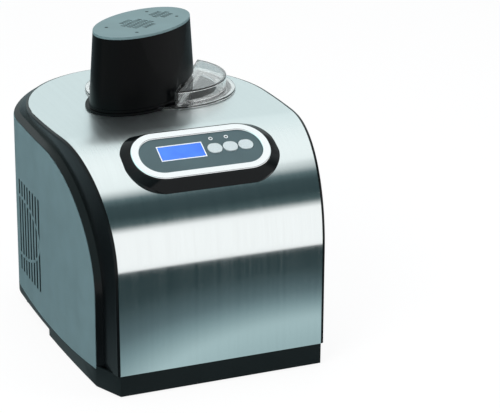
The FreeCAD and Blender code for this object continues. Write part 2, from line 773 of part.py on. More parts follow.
# Bowl, turned from sheet with a rim flange, an axle stud and two riveted ears
bowl_top = size("bowl_top", 258, "table to the rim of the bowl")
bowl_height = size("bowl_height", 156, "height of the bowl")
rim_radius = size("rim_radius", 70, "outside radius of the bowl at its rim")
base_radius = size("base_radius", 58, "outside radius of the bowl at its base")
bowl_wall = size("bowl_wall", 1.2, "wall of the bowl")
bowl_flange = size("bowl_flange", 75, "radius of the bowl's hanging flange")
flange_drop = size("flange_drop", 7.7, "rim of the bowl to the underside of its flange")
flange_thick = size("flange_thick", 2, "thickness of the bowl's flange")
stud_radius = size("stud_radius", 5, "radius of the stud in the bowl's base")
stud_height = size("stud_height", 9, "height of the stud in the bowl's base")
bowl_low = bowl_top - bowl_height
bowl_floor = bowl_low + bowl_wall
hang = bowl_top - flange_drop


def bowl_radius(z):
    """Outside radius of the tapered bowl at a height."""
    return base_radius + (rim_radius - base_radius) * (z - bowl_low) / bowl_height


node("bowl", turned([
    (0, bowl_low),
    (base_radius, bowl_low),
    (bowl_radius(hang), hang),
    (bowl_flange, hang),
    (bowl_flange, hang + flange_thick),
    (bowl_radius(hang + flange_thick), hang + flange_thick),
    (rim_radius, bowl_top),
    (rim_radius - bowl_wall, bowl_top),
    (bowl_radius(bowl_floor) - bowl_wall, bowl_floor),
    (stud_radius, bowl_floor),
    (stud_radius, bowl_floor + stud_height),
    (0, bowl_floor + stud_height),
], well_x, well_y))

ear_thick = size("ear_thick", 2.6, "thickness of a bail ear")
ear_width = size("ear_width", 13, "width of a bail ear")
ear_height = size("ear_height", 7.5, "height of a bail ear")
bail_radius = size("bail_radius", 78, "radius of the bail")
wire_radius = size("wire_radius", 2, "radius of the bail wire")
pivot_fit = size("pivot_fit", 0.08, "clearance of the bail wire in its ears")
bail_z = hang + flange_thick + ear_height / 2
ear_low = hang + flange_thick
ear_block = [
    box(ear_thick, ear_width, ear_height, well_x + x, well_y - ear_width / 2, ear_low)
    for x in (-bowl_flange, bowl_flange - ear_thick)
]
ear_bore = rod(wire_radius + pivot_fit, 2 * bail_radius, well_x - bail_radius, well_y, bail_z, X_AXIS)
node("bowl_ears", without(grouped(*ear_block), ear_bore))

bow = doc.addObject("Part::Torus", "bow")
bind(bow, Radius1=bail_radius, Radius2=wire_radius)
bow.Angle3 = 180
put(bow, well_x, well_y, bail_z, Z_AXIS, 180)
pin_length = bail_radius - bowl_flange + ear_thick
pins = [
    rod(wire_radius, pin_length, well_x - bail_radius, well_y, bail_z, X_AXIS),
    rod(wire_radius, pin_length, well_x + bail_radius, well_y, bail_z, -X_AXIS),
]
knuckles = []
for x in (-bail_radius, bail_radius):
    knuckle = doc.addObject("Part::Sphere", "knuckle")
    bind(knuckle, Radius=wire_radius)
    knuckles.append(put(knuckle, well_x + x, well_y, bail_z))
node("bail", joined(bow, *pins, *knuckles))

# Cooled well: collar, aluminium liner, evaporator, foam and the stand under it
collar_top = body_top - seam
collar_wall = size("collar_wall", 3, "wall of the collar")
collar_ledge = size("collar_ledge", 4, "thickness of the collar's ledge")
well_gap = size("well_gap", 0.8, "gap between the bowl and the well")
well_wall = size("well_wall", 1.5, "wall of the well")
well_flange = size("well_flange", 80, "radius of the well's flange")
coil_thick = size("coil_thick", 6, "thickness of the evaporator")
coil_low = size("coil_low", 112, "table to the bottom of the evaporator")
coil_high = size("coil_high", 232, "table to the top of the evaporator")
foam_radius = size("foam_radius", 88, "outside radius of the foam")
foam_low = size("foam_low", 86, "table to the underside of the foam")
stand_radius = size("stand_radius", 68, "outside radius of the well's stand")
stand_wall = size("stand_wall", 4, "wall of the well's stand")
ledge_top = hang - seam
well_top = ledge_top - collar_ledge
well_floor = bowl_low - well_gap
well_under = well_floor - well_wall
collar_inner = bowl_radius(hang) + well_gap


def well_outer(z):
    return bowl_radius(z) + well_gap + well_wall


def coil_outer(z):
    return well_outer(z) + seam + coil_thick


node("well_collar", turned([
    (collar_inner, well_top),
    (collar_radius, well_top),
    (collar_radius, collar_top),
    (collar_radius - collar_wall, collar_top),
    (collar_radius - collar_wall, ledge_top),
    (collar_inner, ledge_top),
], well_x, well_y))
node("cooling_well", turned([
    (0, well_under),
    (well_outer(well_under), well_under),
    (well_outer(well_top - well_wall), well_top - well_wall),
    (well_flange, well_top - well_wall),
    (well_flange, well_top),
    (bowl_radius(well_top) + well_gap, well_top),
    (bowl_radius(well_floor) + well_gap, well_floor),
    (0, well_floor),
], well_x, well_y))
node("evaporator_sleeve", turned([
    (well_outer(coil_low) + seam, coil_low),
    (coil_outer(coil_low), coil_low),
    (coil_outer(coil_high), coil_high),
    (well_outer(coil_high) + seam, coil_high),
], well_x, well_y))
foam_top = well_top - well_wall - seam
foam_floor = well_under - seam
foam = turned([
    (0, foam_low),
    (foam_radius, foam_low),
    (foam_radius, foam_top),
    (coil_outer(foam_top) + seam, foam_top),
    (coil_outer(foam_floor) + seam, foam_floor),
    (0, foam_floor),
], well_x, well_y)
node("well_stand", without(
    rod(stand_radius, foam_low - tray_floor, well_x, well_y, tray_floor),
    rod(stand_radius - stand_wall, foam_low - tray_floor, well_x, well_y, tray_floor),
))

# Compressor on rubber grommets, held down by bolts
pump_x = size("pump_x", 8, "middle of the machine to the compressor")
pump_ahead = size("pump_ahead", 163.5, "well axis to the compressor, towards the front")
pump_radius = size("pump_radius", 55, "radius of the compressor shell")
pump_height = size("pump_height", 120, "height of the compressor shell")
pump_round = size("pump_round", 16, "rounding of the compressor's ends")
grommet_height = size("grommet_height", 10, "height of a grommet")
grommet_radius = size("grommet_radius", 9, "radius of a grommet")
bolt_radius = size("bolt_radius", 3, "radius of a mounting bolt")
bolt_play = size("bolt_play", 0.3, "clearance round a mounting bolt")
bolt_head = size("bolt_head", 4, "height of a bolt head")
plate_length = size("plate_length", 120, "length of the compressor's foot plate")
plate_width = size("plate_width", 80, "width of the compressor's foot plate")
plate_thick = size("plate_thick", 3, "thickness of the compressor's foot plate")
pump_y = well_y - pump_ahead
plate_low = tray_floor + grommet_height
pump_low = plate_low + plate_thick
pump_top = pump_low + pump_height
pump_shell = turned([
    (0, pump_low),
    (pump_radius - pump_round, pump_low),
    (pump_radius, pump_low + pump_round),
    (pump_radius, pump_top - pump_round),
    (pump_radius - pump_round, pump_top),
    (0, pump_top),
], pump_x, pump_y)
bolt_x = plate_length / 2 - grommet_radius
bolt_y = plate_width / 2 - grommet_radius
bolt_spots = [(pump_x + x, pump_y + y) for x in (-bolt_x, bolt_x) for y in (-bolt_y, bolt_y)]
foot_plate = without(
    slab(plate_length, plate_width, plate_thick, pump_x, pump_y, plate_low),
    *(rod(bolt_radius + bolt_play, plate_thick, x, y, plate_low) for x, y in bolt_spots),
)
node("compressor", joined(pump_shell, foot_plate))
node("compressor_grommets", without(
    grouped(*(rod(grommet_radius, grommet_height, x, y, tray_floor) for x, y in bolt_spots)),
    *(rod(bolt_radius + bolt_play, grommet_height, x, y, tray_floor) for x, y in bolt_spots),
))
shank = grommet_height + plate_thick
node("compressor_bolts", grouped(*(
    joined(rod(bolt_radius, shank, x, y, tray_floor), rod(2 * bolt_radius, bolt_head, x, y, pump_low))
    for x, y in bolt_spots
)))
cover_length = size("cover_length", 20, "length of the terminal cover")
cover_width = size("cover_width", 34, "width of the terminal cover")
cover_height = size("cover_height", 44, "height of the terminal cover")
cover_z = size("cover_z", 64, "table to the terminal cover")
terminal_block = box(pump_radius + cover_length, cover_width, cover_height,
                     pump_x, pump_y - cover_width / 2, cover_z)
pump_bar = rod(pump_radius + seam, pump_height, pump_x, pump_y, pump_low)
node("terminal_cover", without(terminal_block, pump_bar))

# Condenser, its fan in a shroud behind the left vents, and the fan motor
shroud_depth = size("shroud_depth", 22, "depth of the fan shroud")
shroud_width = size("shroud_width", 100, "width of the fan shroud")
shroud_top = size("shroud_top", 152, "table to the top of the fan shroud")
shroud_gap = size("shroud_gap", 1, "wall of the base tray to the fan shroud")
fan_inset_rear = size("fan_inset_rear", 115, "rear to the fan axis")
fan_hole = size("fan_hole", 46, "radius of the hole for the fan")
fan_radius = size("fan_radius", 43.5, "radius of the fan")
fan_hub = size("fan_hub", 14, "radius of the fan hub")
fan_thick = size("fan_thick", 12, "thickness of the fan")
fan_inset = size("fan_inset", 3, "shroud face to the fan")
blade_count = size("blade_count", 5, "number of fan blades")
blade_thick = size("blade_thick", 1.6, "thickness of a fan blade")
blade_pitch = size("blade_pitch", 32, "angle of a fan blade")
bar_thick = size("bar_thick", 4, "thickness of the bars that carry the fan motor")
bar_width = size("bar_width", 12, "width of the bars that carry the fan motor")
spindle = size("spindle", 2.5, "radius of a motor spindle")
running_fit = size("running_fit", 0.05, "radial clearance of a shaft in its bearing")
fan_motor_radius = size("fan_motor_radius", 17, "radius of the fan motor")
fan_motor_length = size("fan_motor_length", 18, "length of the fan motor")
fan_y = rear - fan_inset_rear
shroud_rear = float(fan_y + shroud_width / 2) - corner_middle()[0].y
wall_x = corner_middle()[0].x + math.sqrt(float(rear_corner) ** 2 - max(shroud_rear, 0) ** 2)
shroud_x = tray_wall + shroud_gap - min(wall_x, bow_half_width(float(fan_y + shroud_width / 2)))
bar_x = shroud_x + shroud_depth - bar_thick
fan_x = shroud_x + fan_inset
shroud_box = box(shroud_depth, shroud_width, shroud_top - tray_floor,
                 shroud_x, fan_y - shroud_width / 2, tray_floor)
shroud_frame = without(shroud_box, rod(fan_hole, shroud_depth, shroud_x, fan_y, fan_z, X_AXIS))
bars = [
    box(bar_thick, 2 * fan_hole + bar_thick, bar_width,
        bar_x, fan_y - fan_hole - bar_thick / 2, fan_z - bar_width / 2),
    box(bar_thick, bar_width, 2 * fan_hole + bar_thick,
        bar_x, fan_y - bar_width / 2, fan_z - fan_hole - bar_thick / 2),
]
spindle_hole = rod(spindle + running_fit, shroud_depth, shroud_x, fan_y, fan_z, X_AXIS)
node("fan_shroud", without(joined(shroud_frame, *bars), spindle_hole))
node("fan_motor", without(
    rod(fan_motor_radius, fan_motor_length, bar_x + bar_thick, fan_y, fan_z, X_AXIS),
    rod(spindle + running_fit, fan_motor_length / 2, bar_x + bar_thick, fan_y, fan_z, X_AXIS),
))


def fan_shape():
    """Hub, pitched blades and spindle about the x axis, from the fan's outer face."""
    shape = Part.makeCylinder(fan_hub, fan_thick, Vector(0, 0, 0), X_AXIS)
    reach = float(bar_x + bar_thick - fan_x) + float(fan_motor_length) / 3
    shape = shape.fuse(Part.makeCylinder(spindle, reach, Vector(0, 0, 0), X_AXIS))
    chord = float(fan_thick) * 0.95 / math.cos(math.radians(float(blade_pitch)))
    root = float(fan_hub) * 0.8
    for index in range(round(float(blade_count))):
        corner = Vector(-chord / 2, -float(blade_thick) / 2, root)
        blade = Part.makeBox(chord, blade_thick, float(fan_radius) - root, corner)
        blade.rotate(Vector(0, 0, 0), Z_AXIS, blade_pitch)
        blade.translate(Vector(float(fan_thick) / 2, 0, 0))
        blade.rotate(Vector(0, 0, 0), X_AXIS, 360 * index / float(blade_count))
        shape = shape.fuse(blade)
    swept = Part.makeCylinder(fan_radius, reach, Vector(0, 0, 0), X_AXIS)
    return shape.common(swept).removeSplitter()


node("fan", put(shaped(fan_shape()), fan_x, fan_y, fan_z))

fin_clear = size("fin_clear", 9.4, "condenser to the foam")
fin_width = size("fin_width", 86, "width of the condenser")
fin_top = size("fin_top", 150, "table to the top of the condenser")
fin_count = size("fin_count", 12, "number of air gaps in the condenser")
fin_gap = size("fin_gap", 4, "width of an air gap in the condenser")
condenser_x = bar_x + bar_thick + fan_motor_length + seam
fin_depth = well_x - foam_radius - fin_clear - condenser_x
condenser_front = fan_y - fin_width / 2
condenser_rear = fan_y + fin_width / 2
fin_pitch = fin_width / (fin_count + 1)
air_gaps = [
    box(fin_depth * 0.7, fin_gap, fin_top - plinth_top, condenser_x,
        condenser_front + fin_pitch * (index + 1) - fin_gap / 2, plinth_top)
    for index in range(round(float(fin_count)))
]
node("condenser", without(
    box(fin_depth, fin_width, fin_top - tray_floor, condenser_x, condenser_front, tray_floor), *air_gaps
))

# Refrigerant lines between compressor, condenser, drier and evaporator
line_radius = size("line_radius", 3, "radius of the discharge pipe")
suction_radius = size("suction_radius", 4, "radius of the suction pipe")
line_bend = size("line_bend", 14, "bend radius of a refrigerant pipe")
line_z = size("line_z", 100, "table to the discharge pipe")
suction_rise = size("suction_rise", 20, "compressor to the suction pipe's level run")
drier_radius = size("drier_radius", 8, "radius of the drier")
drier_length = size("drier_length", 20, "length of the drier")
drier_z = size("drier_z", 120, "table to the drier")
capillary_radius = size("capillary_radius", 1.5, "radius of the capillary tube")
capillary_z = size("capillary_z", 150, "table to the capillary's level run")
line_x = condenser_x + fin_depth / 2
suction_z = pump_top + suction_rise
capillary_y = condenser_rear + drier_length / 2
node("discharge_pipe", shaped(pipe([
    Vector(pump_x - pump_radius - seam, pump_y, line_z),
    Vector(line_x, pump_y, line_z),
    Vector(line_x, condenser_front, line_z),
], line_radius, float(line_bend))))


def short_of_coil(offset, radius, z):
    """Distance from the well axis where a level pipe just clears the evaporator."""
    nearest = max(abs(float(offset)) - float(radius), 0)
    return math.sqrt(float(coil_outer(z + radius)) ** 2 - nearest**2) + float(seam)


suction_end = float(well_y) - short_of_coil(pump_x - well_x, suction_radius, suction_z)
node("suction_pipe", shaped(pipe([
    Vector(pump_x, pump_y, pump_top),
    Vector(pump_x, pump_y, suction_z),
    Vector(pump_x, suction_end, suction_z),
], suction_radius, float(line_bend))))
node("drier_filter", rod(drier_radius, drier_length, line_x, condenser_rear, drier_z, Y_AXIS))
capillary_end = float(well_x) - short_of_coil(capillary_y - well_y, capillary_radius, capillary_z)
node("capillary_tube", shaped(pipe([
    Vector(line_x, capillary_y, drier_z + drier_radius + seam),
    Vector(line_x, capillary_y, capillary_z),
    Vector(capillary_end, capillary_y, capillary_z),
], capillary_radius, float(line_bend) / 2)))
node("insulation_foam", without(
    foam,
    rod(suction_radius + seam, pump_ahead, pump_x, pump_y, suction_z, Y_AXIS),
    rod(capillary_radius + seam, well_x - line_x, line_x, capillary_y, capillary_z, X_AXIS),
))

# Power board with its transformer, capacitor and relay, upright in the tray
power_clear = size("power_clear", 22, "left side panel to the power board")
power_front = size("power_front", 62, "front to the power board")
power_length = size("power_length", 96, "length of the power board")
power_height = size("power_height", 84, "height of the power board")
coil_block = size("coil_block", 30, "side of the transformer")
cap_radius = size("cap_radius", 8, "radius of the capacitor")
cap_length = size("cap_length", 24, "length of the capacitor")
relay_side = size("relay_side", 18, "side of the relay")
power_x = side_inner - power_clear
power_y = front + power_front
parts_x = board_thick - power_x
node("power_board", joined(
    box(board_thick, power_length, power_height, -power_x, power_y, tray_floor),
    box(coil_block, coil_block, coil_block, parts_x, power_y + tray_wall, tray_floor + tray_wall),
    rod(cap_radius, cap_length, parts_x, power_y + power_length - 2 * cap_radius,
        tray_floor + 2 * cap_radius, X_AXIS),
    box(relay_side, relay_side, relay_side, parts_x, power_y + power_length / 2,
        tray_floor + power_height - 2 * relay_side),
))

# Socket under the steel that feeds the motor unit, and the three pins that enter it
pin_radius = size("pin_radius", 2, "radius of a contact pin")
pin_spread = size("pin_spread", 7.5, "middle of the socket to a pin")
pin_drop = size("pin_drop", 10, "length of a contact pin")
pin_play = size("pin_play", 0.4, "clearance of a pin in the socket")
pin_room = size("pin_room", 1, "depth of the socket below a pin")
socket_deep = size("socket_deep", 20, "depth of the motor socket")
socket_flange = size("socket_flange", 18, "radius of the socket's flange")
lid_gap = size("lid_gap", 0.3, "lid above the steel")
lid_low = body_top + lid_gap
pin_spots = [
    (pin_spread * math.cos(math.radians(angle)), pin_spread * math.sin(math.radians(angle)))
    for angle in (90, 210, 330)
]
socket_body = joined(
    rod(socket_radius, socket_deep, 0, 0, collar_top - socket_deep),
    rod(socket_flange, tray_wall, 0, 0, body_top - steel - tray_wall),
)
node("motor_socket", put(without(socket_body, *(
    rod(pin_radius + pin_play, pin_drop + pin_room, x, y, lid_low - pin_drop - pin_room)
    for x, y in pin_spots
)), socket_x, socket_y))
node("contact_pins", put(grouped(*(
    rod(pin_radius, pin_drop, x, y, lid_low - pin_drop) for x, y in pin_spots
)), socket_x, socket_y))

# Motor and lid unit, in its own frame: origin on the well axis, x along the long axis
lid_radius = size("lid_radius", 89, "radius of the clear lid")
lid_thick = size("lid_thick", 2.5, "thickness of the clear lid")
tower_back = size("tower_back", 39, "well axis to the middle of the motor unit")
tower_top = size("tower_top", 351.3, "table to the top of the motor unit")
top_long = size("top_long", 78.7, "half length of the motor unit at its top")
top_short = size("top_short", 43.8, "half width of the motor unit at its top")
tower_draft = size("tower_draft", 0.067, "spread of the motor unit per height")
tower_wall = size("tower_wall", 4, "wall of the motor housing")
tower_foot = size("tower_foot", 4.5, "spread of the black foot")
base_thick = size("base_thick", 3, "thickness of the motor base")
cap_thick = size("cap_thick", 3, "thickness of the motor cap")
chord_angle = size("chord_angle", -69.5, "direction from the well axis across the filler edge")
chord_out = size("chord_out", 31, "well axis to the filler edge")
overhang_low = size("overhang_low", 284, "table to the overhang above the filler cover")
overhang_slope = size("overhang_slope", 0.06, "rise of the overhang along the filler edge")
lid_top = lid_low + lid_thick
base_top = lid_top + base_thick
housing_top = tower_top - cap_thick


def in_tower(label, thing):
    return node(label, put(thing, well_x, well_y, 0, Z_AXIS, tower_angle))


def tower_oval(z, grow):
    """The motor unit's oval outline at a height, spread by grow."""
    spread = tower_draft * (tower_top - z) + grow
    middle = Vector(-tower_back, 0, z)
    long_end = middle + Vector(top_long + spread, 0, 0)
    short_end = middle + Vector(0, top_short + spread, 0)
    return Part.Wire(Part.Ellipse(long_end, short_end, middle).toShape())


def tower_block(low, high, grow):
    """The motor unit's drafted oval form between two heights."""
    return Part.makeLoft([tower_oval(low, grow), tower_oval(high, grow)], True, True)


def past_chord(out, low, high):
    """All that lies past the filler edge by at least out, up to a sloping ceiling."""
    reach = float(beyond)
    rise = float(overhang_slope) * reach
    corners = [
        Vector(out, -reach, low),
        Vector(out, reach, low),
        Vector(out, reach, float(high) + rise),
        Vector(out, -reach, float(high) - rise),
    ]
    face = Part.Face(Part.makePolygon(corners + corners[:1]))
    wedge = face.extrude(Vector(reach, 0, 0))
    wedge.rotate(Vector(0, 0, 0), Z_AXIS, chord_angle)
    return wedge


def past_chord_level(out, low, high):
    """All that lies past the filler edge by at least out, between two levels."""
    reach = beyond
    block = Part.makeBox(reach, 2 * reach, high - low, Vector(out, -reach, low))
    block.rotate(Vector(0, 0, 0), Z_AXIS, chord_angle)
    return block


def disc(radius, low, high):
    return Part.makeCylinder(radius, high - low, Vector(0, 0, low))


# Clear lid with its filler opening, and the clear cover over that opening
bush_radius = size("bush_radius", 9, "outside radius of the shaft bush")
bush_flange = size("bush_flange", 13, "radius of the shaft bush's flange")
bush_drop = size("bush_drop", 4, "height of the shaft bush's flange")
opening_radius = size("opening_radius", 66, "radius of the filler opening")
opening_in = size("opening_in", 9, "filler edge to the filler opening")
cover_radius = size("cover_radius", 78, "radius of the filler cover")
cover_top = size("cover_top", 279.3, "table to the top of the filler cover")
cover_wall = size("cover_wall", 2.5, "wall of the filler cover")
lid_plate = disc(lid_radius, lid_low, lid_top).cut(disc(bush_radius + seam / 3, lid_low, lid_top))
filler_opening = disc(opening_radius, lid_low, lid_top).common(
    past_chord_level(chord_out + opening_in, lid_low, lid_top)
)
in_tower("clear_lid", shaped(lid_plate.cut(filler_opening)))
cover_low = lid_top + seam
cover_in = chord_out + 2 * seam
cover_form = disc(cover_radius, cover_low, cover_top).common(
    past_chord_level(cover_in, cover_low, cover_top)
)
cover_room = disc(cover_radius - cover_wall, cover_low, cover_top - cover_wall).common(
    past_chord_level(cover_in + cover_wall, cover_low, cover_top - cover_wall)
)
in_tower("filler_cover", shaped(cover_form.cut(cover_room)))

# Motor base that joins the lid to the housing and stands on the steel in front of the lid
shaft_radius = size("shaft_radius", 5, "radius of the drive shaft")
shaft_play = size("shaft_play", 1, "clearance of the drive shaft through the motor base")
base_plate = tower_block(lid_top, base_top, 0).cut(past_chord_level(chord_out, lid_top, base_top))
base_foot = tower_block(lid_low, lid_top, tower_foot).cut(disc(lid_radius + seam, lid_low, lid_top))
base_form = base_plate.fuse(base_foot).cut(disc(shaft_radius + shaft_play, lid_top, base_top))
in_tower("motor_base", shaped(base_form.removeSplitter()))

# Motor housing: drafted oval shell, cut back over the filler cover, with a finger scallop
scallop_radius = size("scallop_radius", 250, "radius of the finger scallop")
scallop_deep = size("scallop_deep", 3, "depth of the finger scallop at the top")
scallop_tall = size("scallop_tall", 42, "height of the finger scallop")
scallop_shift = size("scallop_shift", 12, "finger scallop past the middle of the motor unit")
housing_form = tower_block(base_top, housing_top, 0)
housing_form = housing_form.cut(past_chord(chord_out, lid_low, overhang_low))
housing_room = tower_block(base_top, housing_top, -tower_wall)
housing_room = housing_room.cut(past_chord(chord_out - tower_wall, lid_low, overhang_low + tower_wall))
slope = math.atan2(float(scallop_deep + tower_draft * scallop_tall), float(scallop_tall))
scallop_bar = Part.makeCylinder(scallop_radius, 2 * tower_top, Vector(0, 0, -tower_top))
scallop_bar.rotate(Vector(0, 0, 0), X_AXIS, -math.degrees(slope))
edge_y = -float(top_short + tower_draft * (tower_top - housing_top) - scallop_deep)
scallop_y = edge_y + float(scallop_radius) / math.cos(slope)
scallop_bar.translate(Vector(scallop_shift - tower_back, scallop_y, housing_top))
in_tower("motor_housing", shaped(housing_form.cut(housing_room).common(scallop_bar)))

# Cap with two round fields of vent slots and four screws
screw_x = size("screw_x", 43, "middle of the motor unit to a cap screw")
screw_y = size("screw_y", 20.7, "long axis of the motor unit to a cap screw")
screw_radius = size("screw_radius", 2, "radius of a cap screw")
screw_head = size("screw_head", 2, "depth of a cap screw in the cap")
field_pitch = size("field_pitch", 4.4, "from one cap slot to the next")
field_width = size("field_width", 2, "width of a cap slot")
field_row = size("field_row", 8, "from one row of cap slots to the next")
field_length = size("field_length", 6.4, "length of a cap slot")
motor_field = size("motor_field", 20, "radius of the vent field over the motor")
gear_field = size("gear_field", 15, "radius of the vent field over the gears")
motor_field_x = size("motor_field_x", -10, "middle of the motor unit to the larger vent field")
gear_field_x = size("gear_field_x", 41, "middle of the motor unit to the smaller vent field")


def vent_field(x, radius):
    """Short slots in rows that fill a round field."""
    reach = float(radius)
    rows = int(reach / float(field_row))
    columns = int(reach / float(field_pitch))
    corner = Vector(-field_width / 2, -field_length / 2, housing_top)
    for row in range(-rows, rows + 1):
        for column in range(-columns, columns + 1):
            place = Vector(column * field_pitch, row * field_row, 0)
            if place.Length < reach:
                place.x += float(x - tower_back)
                yield Part.makeBox(field_width, field_length, cap_thick, corner + place)


screw_spots = [(x - tower_back, y) for x in (-screw_x, screw_x) for y in (-screw_y, screw_y)]
cap_form = tower_block(housing_top, tower_top, 0)
cap_slots = [*vent_field(motor_field_x, motor_field), *vent_field(gear_field_x, gear_field)]
cap_form = cap_form.cut(Part.makeCompound(cap_slots))
cap_plate = shaped(cap_form)
screw_low = tower_top - screw_head
in_tower("motor_cap", without(cap_plate, *(
    rod(screw_radius + seam / 3, screw_head, x, y, screw_low) for x, y in screw_spots
)))
in_tower("cap_screws", grouped(*(
    rod(screw_radius, screw_head - seam, x, y, screw_low) for x, y in screw_spots
)))

# Gear train on the long axis: motor pinion, idler and output gear
module = size("module", 1, "module of the gears")
pinion_teeth = size("pinion_teeth", 14, "teeth of the motor pinion")
idler_teeth = size("idler_teeth", 43, "teeth of the idler gear")
output_teeth = size("output_teeth", 46, "teeth of the output gear")
gear_width = size("gear_width", 8, "width of the gears")
gear_lift = size("gear_lift", 3, "motor base to the gears")
plate_gap = size("plate_gap", 4, "gears to the gear plate")
gear_plate_thick = size("gear_plate_thick", 3, "thickness of the gear plate")
idler_pin_radius = size("idler_pin_radius", 3, "radius of the idler's pin")
backlash = size("backlash", 0.12, "thinning of a gear tooth")
pressure_angle = size("pressure_angle", 20, "pressure angle of the gears")
gear_low = base_top + gear_lift
gear_high = gear_low + gear_width
plate_under = gear_high + plate_gap
plate_over = plate_under + gear_plate_thick
idler_x = -module * (output_teeth + idler_teeth) / 2
pinion_x = idler_x - module * (idler_teeth + pinion_teeth) / 2


def gear_shape(teeth, bore, half_pitch_turn):
    """An involute gear about its own z axis, from gear_low to gear_high."""
    count = round(float(teeth))
    pitch = float(module) * count / 2
    angle = math.radians(float(pressure_angle))
    base = pitch * math.cos(angle)
    tip = pitch + 0.9 * float(module)
    root = pitch - 1.25 * float(module)
    start = max(base, root) + 0.02 * float(module)
    radii = [start + (tip - start) * step / 3 for step in range(4)]

    def half_tooth(radius):
        lean = math.acos(base / radius)
        grown = math.tan(angle) - angle - math.tan(lean) + lean
        return (math.pi / 2 - float(backlash)) / count + grown

    def spot(radius, turn):
        return Vector(radius * math.cos(turn), radius * math.sin(turn), gear_low)

    points = []
    for tooth in range(count):
        centre = 2 * math.pi * (tooth + (0.5 if half_pitch_turn else 0)) / count
        points.append(spot(root, centre - half_tooth(start)))
        points += [spot(radius, centre - half_tooth(radius)) for radius in radii]
        points += [spot(radius, centre + half_tooth(radius)) for radius in reversed(radii)]
        points.append(spot(root, centre + half_tooth(start)))
    blank = Part.Face(Part.makePolygon(points + points[:1])).extrude(Vector(0, 0, gear_width))
    return blank.cut(disc(bore, gear_low, gear_high)) if float(bore) else blank


gear_room = tower_block(plate_under, plate_over, -tower_wall - seam)
gear_room = gear_room.cut(past_chord(chord_out - tower_wall - seam, lid_low, overhang_low + 2 * tower_wall))
gear_plate = shaped(gear_room)
in_tower("gear_plate", without(
    gear_plate,
    rod(shaft_radius + running_fit, gear_plate_thick, 0, 0, plate_under),
    rod(spindle + shaft_play, gear_plate_thick, pinion_x, 0, plate_under),
))
in_tower("idler_pin", grouped(rod(idler_pin_radius, plate_under - base_top, idler_x, 0, base_top)))
idler = gear_shape(idler_teeth, idler_pin_radius + running_fit, True)
idler.translate(Vector(idler_x, 0, 0))
in_tower("idler_gear", grouped(shaped(idler)))
in_tower("output_gear", shaped(gear_shape(output_teeth, shaft_radius + running_fit, False)))

# Drive motor on the gear plate, its spindle and pinion
motor_radius = size("motor_radius", 26, "radius of the drive motor")
motor_length = size("motor_length", 46, "length of the drive motor")
spindle_in = size("spindle_in", 12, "length of the spindle in the motor")
in_tower("drive_motor", without(
    rod(motor_radius, motor_length, pinion_x, 0, plate_over),
    rod(spindle + running_fit, spindle_in + seam, pinion_x, 0, plate_over),
))
pinion = gear_shape(pinion_teeth, 0, True)
pinion.translate(Vector(pinion_x, 0, 0))
spindle_bar = rod(spindle, plate_over + spindle_in - gear_low, pinion_x, 0, gear_low)
in_tower("motor_pinion", joined(shaped(pinion), spindle_bar))

# Drive shaft in its bush, with a square end in the paddle's socket
square = size("square", 7, "side of the drive shaft's square end")
square_play = size("square_play", 0.3, "clearance of the square in the paddle")
square_low = size("square_low", 200, "table to the end of the drive shaft")
round_low = size("round_low", 234, "table to the end of the drive shaft's round part")
in_tower("drive_shaft", joined(
    rod(shaft_radius, plate_over - round_low, 0, 0, round_low),
    slab(square, square, round_low - square_low, 0, 0, square_low),
))
in_tower("shaft_bush", without(
    joined(
        rod(bush_radius, lid_thick, 0, 0, lid_low),
        rod(bush_flange, bush_drop, 0, 0, lid_low - bush_drop),
    ),
    rod(shaft_radius + running_fit, lid_thick + bush_drop, 0, 0, lid_low - bush_drop),
))

# Paddle that stands on the bowl's stud: a hub with one open blade that scrapes the wall
hub_radius = size("hub_radius", 9, "radius of the paddle's hub")
hub_top = size("hub_top", 226, "table to the top of the paddle's hub")
paddle_lift = size("paddle_lift", 0.4, "paddle above the floor of the bowl")
stud_play = size("stud_play", 0.1, "clearance of the bowl's stud in the hub")
scrape = size("scrape", 1.5, "paddle's blade to the wall of the bowl")
blade_low = size("blade_low", 107, "table to the bottom of the blade")
blade_high = size("blade_high", 238, "table to the top of the blade")
blade_rail = size("blade_rail", 13, "width of the blade's rails")
paddle_thick = size("paddle_thick", 5, "thickness of the paddle's blade")
hub_low = bowl_floor + paddle_lift


def blade_reach(z):
    return bowl_radius(z) - bowl_wall - scrape


window_low = blade_low + blade_rail
window_high = hub_top - blade_rail
blade_body = doc.addObject("PartDesign::Body", "paddle_blade")
blade_sketch = draw(
    blade_body,
    "XZ_Plane",
    [
        (0, blade_low),
        (blade_reach(blade_low), blade_low),
        (blade_reach(blade_high), blade_high),
        (blade_reach(blade_high) - blade_rail, blade_high),
        (blade_reach(hub_top) - 2 * blade_rail, hub_top),
        (0, hub_top),
    ],
    [
        (hub_radius + blade_rail, window_low),
        (blade_reach(window_low) - blade_rail, window_low),
        (blade_reach(window_high) - blade_rail, window_high),
        (hub_radius + blade_rail, window_high),
    ],
)
blade_pad = blade_body.newObject("PartDesign::Pad", "pad")
blade_pad.Profile = blade_sketch
blade_pad.Midplane = True
bind(blade_pad, Length=paddle_thick)
socket_top = square + 2 * square_play
in_tower("paddle", without(
    joined(blade_body, rod(hub_radius, hub_top - hub_low, 0, 0, hub_low)),
    rod(stud_radius + stud_play, stud_height, 0, 0, hub_low),
    slab(socket_top, socket_top, hub_top - square_low + square_play, 0, 0, square_low - square_play),
))

doc.recompute()
for item in doc.Objects:
    if "Invalid" in item.State or "Error" in item.State:
        raise RuntimeError(f"{item.Label} failed: {item.State}")
for label, item in nodes.items():
    if item.Shape.isNull() or not item.Shape.isValid() or not item.Shape.Solids:
        raise RuntimeError(f"{label} has no valid solid")
os.makedirs("parts", exist_ok=True)
for label, item in nodes.items():
    item.Shape.exportStep(f"parts/{label}.step")
print(f"{len(nodes)} pieces written")
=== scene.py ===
import math

import bmesh
import bpy
from mathutils import Matrix, Vector


